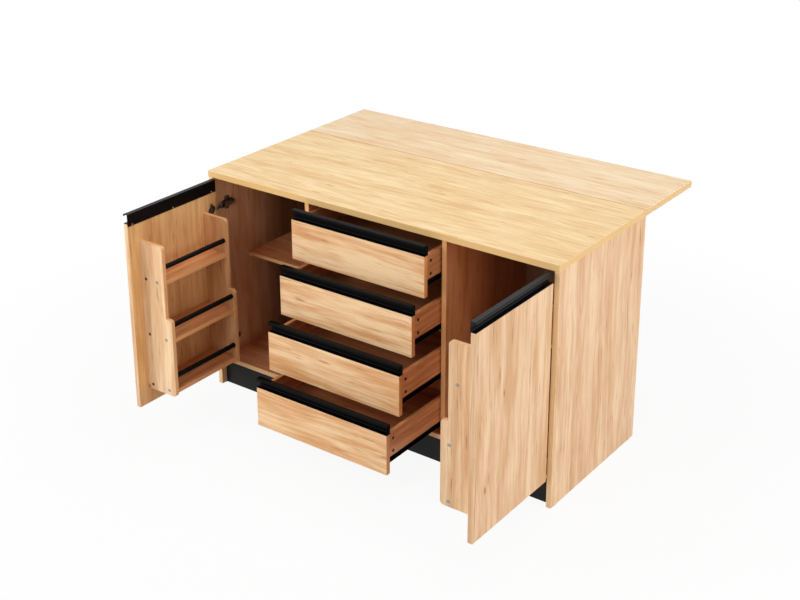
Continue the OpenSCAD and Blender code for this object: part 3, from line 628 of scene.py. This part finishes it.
def rounded(corners, steps=4):
    """Outline in millimetres from (x, y, corner radius)."""
    outline = []
    for k, (x, y, radius) in enumerate(corners):
        here = Vector((x, y))
        before = (Vector(corners[k - 1][:2]) - here).normalized()
        after = (Vector(corners[(k + 1) % len(corners)][:2]) - here).normalized()
        if not radius:
            outline.append((x, y))
            continue
        half = before.angle(after) / 2
        centre = here + (before + after).normalized() * radius / math.sin(half)
        start = here + before * radius / math.tan(half) - centre
        stop = here + after * radius / math.tan(half) - centre
        first, last = math.atan2(start.y, start.x), math.atan2(stop.y, stop.x)
        sweep = (last - first + math.pi) % math.tau - math.pi
        for n in range(steps + 1):
            angle = first + sweep * n / steps
            outline.append((centre.x + radius * math.cos(angle), centre.y + radius * math.sin(angle)))
    return outline


def plate(shape, place, outline, thick, ease=0.35):
    """Flat form cut to an outline in millimetres, its rims rounded over."""
    low = [shape.verts.new(place @ (Vector((x, y, 0)) / 1000)) for x, y in outline]
    high = [shape.verts.new(place @ (Vector((x, y, thick)) / 1000)) for x, y in outline]
    ends = [shape.faces.new(low), shape.faces.new(high)]
    for k in range(len(low)):
        j = (k + 1) % len(low)
        shape.faces.new((low[k], low[j], high[j], high[k]))
    if ease:
        rims = list({edge for end in ends for edge in end.edges})
        bmesh.ops.bevel(shape, geom=rims, offset=ease / 1000, segments=2, profile=0.5, affect="EDGES")


# the right-hand hinges, door open. The left ones are their mirror image
hinge_from_end, cup_from_edge = 80.0, 22.5
door_low, door_high = face("door_right_panel", "-z"), face("door_right_panel", "+z")
hinge_heights = (door_low + hinge_from_end, door_high - hinge_from_end)
door_inside, panel_inside = face("door_right_panel", "-x"), face("side_panel_right", "-x")
cup_y, wing_face = door_rear - cup_from_edge, door_inside - 1.1
pin_x, pin_y = panel_inside - 14.0, 30.0           # the pin that joins arm and link
link_length, link_width, link_half, link_bow = 37.0, 9.6, 2.0, 0.9
link_lean = math.radians(-102.3)
along_link = (math.cos(link_lean), math.sin(link_lean), 0)
across_link = (-math.sin(link_lean), math.cos(link_lean), 0)
bow_shares = (0.06, 0.2, 0.35, 0.5, 0.65, 0.8, 0.94)
bow = [(share * link_length, link_bow * math.sin(math.pi * share)) for share in bow_shares]
strap_outline = ([(x, y - link_half - 0.1) for x, y in bow]
                 + [(x, y + link_half - 0.1) for x, y in reversed(bow)])
plate_thick, arm_rise, arm_half, arm_wall = 3.0, 15.0, 8.9, 2.0
cup_rings = [(17.3, -11.4), (17.4, -0.2), (19.0, -0.1), (19.0, 0.7), (18.5, 1.15), (17.3, 1.2), (16.5, 0.6),
             (16.2, -9.4), (14.6, -10.4), (0, -10.4)]
cup_wing = rounded([(-28, -10.5, 6.5), (28, -10.5, 6.5), (28, 4.5, 6.5), (-28, 4.5, 6.5)])
wing_lift, wing_thick, wing_middle = 0.1, 0.9, -3.0
eye_rings = [(0.9, 0), (3.7, 0), (4.0, 0.4), (4.0, 9.2), (3.7, 9.6), (0.9, 9.6)]
cup_eye_rings = [(radius * 0.72, up) for radius, up in eye_rings]
cup_eye_along = 33.0                               # from the arm's pin to the cup's pin
cup_pin = [(0, -0.5), (1.3, -0.4), (1.5, 0), (1.5, 9.6), (1.3, 10.0), (0, 10.1)]
arm_pin = [(0, 0), (2.2, 0.1), (2.6, 0.5), (1.5, 0.6), (1.5, 18.4), (2.6, 18.5), (2.2, 18.9), (0, 19.0)]
arm_pin_half = 9.5
# wings of the mounting plate, top of the arm and one of its cheeks, each from front to back
half_plate = [(44, -11, 4), (58, -11, 2), (60, -26, 7), (84, -26, 7), (86, -11, 2), (103, -11, 4)]
wings = rounded(half_plate + [(x, -y, radius) for x, y, radius in reversed(half_plate)])
arm_top = rounded([(39, -arm_half, 0.5), (58, -arm_half, 0), (103, -arm_half, 4), (103, arm_half, 4),
                   (58, arm_half, 0), (39, arm_half, 0.5), (39, 7, 0), (48, 6, 2), (48, -6, 2), (39, -7, 0)])
cheek = rounded([(3, 105, 2), (3, 40, 3), (9.5, 33, 3), (10.2, 26.4, 3.6), (17.8, 26.4, 3.6), (15, 40, 3),
                 (15, 105, 5)])
cup_screw = dict(rings=pan(3.9, 1.0), recess=cross(2.0, 0.6), deep=0.8, count=18)
plate_screw = dict(rings=pan(3.9, 0.9), recess=cross(2.0, 0.6), deep=0.8, count=18)
arm_screw = dict(rings=pan(3.4, 1.2), recess=cross(1.9, 0.55), deep=0.9, count=18)
cup_screw_off, plate_screw_off = 23, 18            # above and below the middle of the hinge
plate_screw_y, arm_screw_ys = 72, (59, 85)
for hand in ("left", "right"):
    cups, links, arms = bmesh.new(), bmesh.new(), bmesh.new()
    for height in hinge_heights:
        # pressed cup, 35 mm, with a rolled rim, in the bore of the open door
        cup = seat((door_inside, cup_y, height), Z, Y)
        turned(cups, cup, cup_rings, count=40)
        plate(cups, cup @ Matrix.Translation((0, 0, wing_lift / 1000)), cup_wing, wing_thick, ease=0.25)
        for off in (-cup_screw_off, cup_screw_off):
            screw(cups, seat((wing_face, cup_y + wing_middle, height + off), Z, Y), **cup_screw)
        # link: a bowed strap with a rolled eye at each end and a riveted pin
        strap = seat((pin_x, pin_y, height - link_width / 2), along_link, across_link)
        plate(links, strap, strap_outline, link_width)
        turned(links, strap, eye_rings)
        cup_end = strap @ Matrix.Translation((cup_eye_along / 1000, 0, 0))
        turned(links, cup_end, cup_eye_rings)
        turned(links, cup_end, cup_pin, count=16)
        # winged mounting plate on the side panel
        plate(arms, seat((panel_inside - plate_thick, 0, height), Y, Z), wings, plate_thick, ease=0.6)
        for off in (-plate_screw_off, plate_screw_off):
            screw(arms, seat((panel_inside - plate_thick, plate_screw_y, height + off), Z, Y), **plate_screw)
        # the arm: a top and two cheeks that run forward to ears with the link's pin
        plate(arms, seat((panel_inside - arm_rise, 0, height), Y, Z), arm_top, arm_wall, ease=0.5)
        for low in (-arm_half, arm_half - arm_wall):
            plate(arms, seat((panel_inside, 0, height + low), (-1, 0, 0), Y), cheek, arm_wall, ease=0.4)
        turned(arms, seat((pin_x, pin_y, height - arm_pin_half), X, Y), arm_pin, count=16)
        for at_y in arm_screw_ys:
            screw(arms, seat((panel_inside - arm_rise, at_y, height), Z, Y), **arm_screw)
    for name, shape, body, node in (
            ("cups", cups, f"door_{hand}", f"hinge_{hand}_cups"),
            ("links", links, f"links_{hand}", f"hinge_{hand}_links"),
            ("arms", arms, "cabinet", "hinge_arms")):
        piece(f"{hand}_hinge_{name}", shape, hinge_black, body, "black_metal", node, mirrored=hand == "left")


# ---------------------------------------------------------------- drawers
# The fronts are 19 mm boards with the decor lying level. The boxes are 15 mm boards in a deeper reddish
# brown, with a thin bottom in grooves, and a black steel runner under each side.

front_tones = srgb(244, 208, 161), srgb(217, 157, 101), srgb(190, 128, 72)
box_pale, box_tan, box_dark = srgb(244, 175, 121), srgb(207, 129, 79), srgb(176, 120, 78)
# painted shade: the upper face of each drawer bottom is darker, for the shade inside the drawer
bottom_inside_shade = (Z, (0.6, 0.54, 0.5))
# painted shade: each box's tones are scaled by how much light reaches it, darkest for drawer 1
for number, box_shade in enumerate((0.72, 1.0, 1.12, 1.08), 1):
    box_tones = [tuple(c * box_shade for c in tone[:3]) + (1,) for tone in (box_pale, box_tan)] + [box_dark]
    node = f"drawer_{number}_front"
    finish_in(node, oak_board(
        f"drawer {number} front oak", (X, Z, Y), 13.0 + 1.3 * number, front_tones, edge=srgb(240, 160, 92),
        bands=1.12, lines=1.3, splits=0.6, node=node, edge_highlight_share=0.2))
    finish_in(f"drawer_{number}_box", oak_board(
        f"drawer {number} side oak", (Y, Z, X), 20.0 + number, box_tones))
    finish_in(f"drawer_{number}_bottom", oak_board(
        f"drawer {number} bottom oak", (X, Y, Z), 25.0 + number, box_tones, inner=bottom_inside_shade))
runner_black = coated("runner black", srgb(16, 16, 17), srgb(44, 44, 44), 0.36, metal=0.2, marks=0.3,
                      sheen=0.3)
bolt_black = coated("bolt black", srgb(20, 17, 15), srgb(62, 52, 46), 0.4, metal=0.3, sheen=0.3)
runner_w, runner_h = 15, 22
channel = rounded([(0, 0, 2.0), (runner_w, 0, 0.4), (runner_w, 1.5, 0.4), (1.5, 1.5, 0.7), (1.5, 20.5, 0.7),
                   (runner_w, 20.5, 0.4), (runner_w, runner_h, 0.4), (0, runner_h, 2.0)], steps=3)
stop_plate = rounded([(1.2, 1.2, 0), (14.6, 1.2, 1.5), (14.6, 20.8, 1.5), (1.2, 20.8, 0)])
stop_in, stop_thick = 1.4, 1.2
rivet_rings = [(3.4, -0.2), (3.4, 0.4), (2.7, 0.9), (1.2, 1.2), (0, 1.25)]
hexagon = [(2.4 * math.cos(math.tau * k / 6), 2.4 * math.sin(math.tau * k / 6)) for k in range(6)]
bolt = dict(rings=pan(6.0, 1.2), recess=hexagon, deep=1.0, count=24)
bolt_in, bolt_drops = 24.0, (27, 75)               # behind the front, and below the upper edge of the side
rivets_along, rivet_in = (37, 237, 437), 8         # behind the runner's front end, and in from its edge
outer_profile_screw = 41.0                         # in from the end of a drawer's profile


def add_mirrored(whole, shape, hand):
    """Adds a shape to a whole, as it is or as its mirror image."""
    bmesh.ops.transform(shape, matrix=Matrix.Scale(hand, 4, X), verts=shape.verts)
    spare = bpy.data.meshes.new("spare")
    shape.to_mesh(spare)
    shape.free()
    whole.from_mesh(spare)
    bpy.data.meshes.remove(spare)


for number in range(1, 5):
    box, fittings, profile = (f"drawer_{number}_{kind}" for kind in ("box", "fittings", "handle"))
    box_side, box_front, box_low, box_top = (face(box, side) for side in ("+x", "-y", "-z", "+z"))
    runner_front, runner_rear = face(fittings, "-y"), face(fittings, "+y")
    runner_x, runner_z = box_side - runner_w, box_low - runner_h
    steel, bolts = bmesh.new(), bmesh.new()
    for hand in (1, -1):
        half, tops = bmesh.new(), bmesh.new()
        runner_end = seat((runner_x, runner_rear, runner_z), X, Z)
        stop = seat((runner_x, runner_front + stop_in, runner_z), X, Z)
        plate(half, runner_end, channel, runner_rear - runner_front, ease=0)
        plate(half, stop, stop_plate, stop_thick, ease=0.3)
        for along in rivets_along:
            place = (runner_x + rivet_in, runner_front + along, runner_z)
            turned(half, seat(place, X, (0, -1, 0)), rivet_rings, count=18)
        for drop in bolt_drops:
            screw(tops, seat((box_side, box_front + bolt_in, box_top - drop), Y, Z), **bolt)
        add_mirrored(steel, half, hand)
        add_mirrored(bolts, tops, hand)
    reach = face(profile, "+x") - outer_profile_screw
    for across in (-reach, 0, reach):
        place = (across, face(profile, "+y"), face(profile, "-z") + profile_screw_up)
        screw(bolts, seat(place, (-1, 0, 0), Z), **profile_screw)
    piece(f"drawer_{number}_runners", steel, runner_black, f"drawer_{number}", "black_metal", fittings)
    piece(f"drawer_{number}_bolts", bolts, bolt_black, f"drawer_{number}", "dark_metal", fittings)
finish_in("cabinet_rails", runner_black)


# ---------------------------------------------------------------- leaf hinges and stays
# Nickel-plated back flap hinges join the leaf to the worktop. Two black steel stays stand on brackets on the
# back panel, and their rollers run in channels under the leaf.

flap_nickel = coated("flap nickel", srgb(178, 176, 172), srgb(128, 126, 122), 0.32, metal=0.9, marks=0.35)
stay_black = coated("stay black", srgb(26, 26, 27), srgb(62, 62, 62), 0.4, metal=0.4, marks=0.3)
for node in ("leaf_hinge_fixed", "leaf_hinge_moving"):
    finish_in(node, flap_nickel)
for node in ("leaf_tracks", "stay_brackets", "leaf_stays"):
    finish_in(node, stay_black)
sheet_thick = 2.0                                  # flaps and tracks
under_flaps = face("worktop", "-z") - sheet_thick
flap_screw = dict(rings=pan(4.0, 1.2), recess=cross(2.1, 0.6), deep=0.9)
flap_screw_in, flap_screw_off = 9.0, 18            # in from the flap's end, and to each side of its middle
flap_half = 30.0
hinge_middle = face("leaf_hinge_fixed", "+x") - flap_half
for body, screw_line in (("cabinet", face("leaf_hinge_fixed", "-y") + flap_screw_in),
                         ("leaf", face("leaf_hinge_moving", "+y") - flap_screw_in)):
    heads = bmesh.new()
    for centre in (-hinge_middle, 0, hinge_middle):
        for off in (-flap_screw_off, flap_screw_off):
            screw(heads, seat((centre + off, screw_line, under_flaps), X, (0, -1, 0)), **flap_screw)
    piece(f"{body}_flap_screws", heads, flap_nickel, body, "bright_metal")

flush_rings = [(2.1, -1.4), (2.1, -0.1), (1.9, 0.05), (1.5, 0.05)]
track_screw = dict(rings=flush_rings, recess=cross(1.2, 0.35), deep=0.6, count=16)
bracket_screw = dict(rings=pan(4.4, 1.8), recess=cross(2.3, 0.65), deep=1.1)
foot_rivet = [(4.6, 0), (4.5, 0.6), (3.8, 1.2), (2.4, 1.6), (0, 1.7)]
roller_rivet = [(2.6, 0), (2.5, 0.4), (1.8, 0.8), (0, 0.9)]
track_front, track_rear = face("leaf_tracks", "-y"), face("leaf_tracks", "+y")
track_screw_shares = (0.06, 0.5, 0.94)             # of the track's length
stay_half, roller_radius = 7.0, 6.0
stay_x = face("leaf_stays", "+x") - stay_half
back_rear, bracket_thick, foot_out = face("back_panel", "+y"), 3.0, 16.0
bracket_z, bracket_face = middle("stay_brackets", "z"), back_rear + bracket_thick
bracket_screw_off, bracket_screw_rise = 10, 36     # from the middle of the bracket
foot_y, foot_half = back_rear + foot_out, 6.5
roller_y, roller_z = face("leaf_stays", "+y") - roller_radius, face("leaf_stays", "+z") - roller_radius
track_heads, bracket_heads, rivets = bmesh.new(), bmesh.new(), bmesh.new()
for centre in (-stay_x, stay_x):
    for share in track_screw_shares:
        at_y = track_front + (track_rear - track_front) * share
        screw(track_heads, seat((centre, at_y, under_flaps), X, (0, -1, 0)), **track_screw)
    for off in (-bracket_screw_off, bracket_screw_off):
        for rise in (-bracket_screw_rise, bracket_screw_rise):
            place = (centre + off, bracket_face, bracket_z + rise)
            screw(bracket_heads, seat(place, (-1, 0, 0), Z), **bracket_screw)
    for hand in (1, -1):
        foot = seat((centre + foot_half * hand, foot_y, bracket_z), Y, (0, 0, hand))
        roller = seat((centre + stay_half * hand, roller_y, roller_z), Y, (0, 0, hand))
        turned(bracket_heads, foot, foot_rivet)
        turned(rivets, roller, roller_rivet, count=20)
piece("track_screws", track_heads, zinc, "leaf", "bright_metal")
piece("bracket_screws", bracket_heads, stay_black, "cabinet", "black_metal")
piece("roller_rivets", rivets, zinc, "stays", "bright_metal")


# ---------------------------------------------------------------- studio
# A plain pale floor that keeps the object's soft shadow, a white surround, dim except to the camera and in
# reflections, and six softboxes: right, high right, front, left, above and behind.


def seen_straight(tree):
    """1 for what the camera sees directly, in a reflection or through glass."""
    path = tree.nodes.new("ShaderNodeLightPath").outputs
    passed_on = calc(tree, "MAXIMUM", path["Is Glossy Ray"], path["Is Transmission Ray"])
    return calc(tree, "MAXIMUM", path["Is Camera Ray"], passed_on)


half_floor = 9.0
floor_mesh = bpy.data.meshes.new("floor")
floor_corners = [(half_floor * x, half_floor * y, 0) for x, y in ((-1, -1), (1, -1), (1, 1), (-1, 1))]
floor_mesh.from_pydata(floor_corners, [], [(0, 1, 2, 3)])
floor = bpy.data.objects.new("floor", floor_mesh)
bpy.context.scene.collection.objects.link(floor)
# the floor goes over into plain white from the shadow's edge outwards
shadow_edge, all_white, near_white = 1.2, 2.4, 0.92
pale_floor = bpy.data.materials.new("pale floor")
pale_floor.use_nodes = True
tree = pale_floor.node_tree
tree.nodes.remove(tree.nodes["Principled BSDF"])
matt = tree.nodes.new("ShaderNodeBsdfDiffuse")
matt.inputs["Color"].default_value = (0.8, 0.8, 0.8, 1)
bright = tree.nodes.new("ShaderNodeEmission")
mix = tree.nodes.new("ShaderNodeMixShader")
place = tree.nodes.new("ShaderNodeTexCoord").outputs["Object"]
far = between(tree, vec(tree, "LENGTH", place), shadow_edge, all_white)
white_share = total(tree, times(tree, far, 1 - near_white), near_white)
feed(tree, mix.inputs[0], times(tree, seen_straight(tree), white_share))
tree.links.new(matt.outputs[0], mix.inputs[1])
tree.links.new(bright.outputs[0], mix.inputs[2])
tree.links.new(mix.outputs[0], tree.nodes["Material Output"].inputs[0])
floor_mesh.materials.append(pale_floor)

dome_light = 0.06
world = bpy.data.worlds.new("studio")
bpy.context.scene.world = world
world.use_nodes = True
tree = world.node_tree
dome = tree.nodes["Background"].inputs
feed(tree, dome["Strength"], total(tree, times(tree, seen_straight(tree), 1 - dome_light), dome_light))
dome["Color"].default_value = (1, 1, 1, 1)

aim = Vector((0, 0, 0.5))
for name, place, size, power in (
        ("right softbox", (4.6, 0.0, 1.6), (2.5, 2.5), 92),
        ("high right softbox", (4.0, -1.0, 3.2), (2.5, 2.5), 29),
        ("front softbox", (0.3, -4.4, 3.0), (2.5, 2.5), 64),
        ("left softbox", (-3.4, -3.4, 2.2), (2.5, 2.5), 140),
        ("top softbox", (0.0, 0.4, 4.0), (3.0, 3.0), 73),
        ("back softbox", (1.4, 4.8, 1.2), (2.5, 2.0), 48)):
    light = bpy.data.lights.new(name, "AREA")
    light.shape = "RECTANGLE"
    light.size, light.size_y = size
    light.energy = power
    lamp = bpy.data.objects.new(name, light)
    bpy.context.scene.collection.objects.link(lamp)
    lamp.location = place
    lamp.rotation_euler = (aim - Vector(place)).to_track_quat("-Z", "Y").to_euler()

# the camera stands where the photograph was taken from, as fitted to the object's corners in its pixels
photo_w, photo_h = 800, 600
focal_pixels, axis_row = 1400.97, 180
yaw, pitch, roll = math.radians(36.27), math.radians(20.09), math.radians(-0.12)
eye = bpy.data.cameras.new("camera")
camera = bpy.data.objects.new("camera", eye)
bpy.context.scene.collection.objects.link(camera)
stand = Vector((2.76136, front_line - 3.57829, 2.67733))
back = Vector((math.sin(yaw) * math.cos(pitch), -math.cos(yaw) * math.cos(pitch), math.sin(pitch)))
right = Vector((math.cos(yaw), math.sin(yaw), 0))
up = back.cross(right)
right, up = right * math.cos(roll) + up * math.sin(roll), up * math.cos(roll) - right * math.sin(roll)
camera.matrix_world = Matrix.Translation(stand) @ Matrix((right, up, back)).transposed().to_4x4()
eye.sensor_width = 36.0
eye.lens = eye.sensor_width * focal_pixels / photo_w
eye.shift_y = (axis_row - photo_h / 2) / photo_w
eye.clip_end = 100
bpy.context.scene.camera = camera
bpy.context.scene.view_settings.view_transform = "Standard"
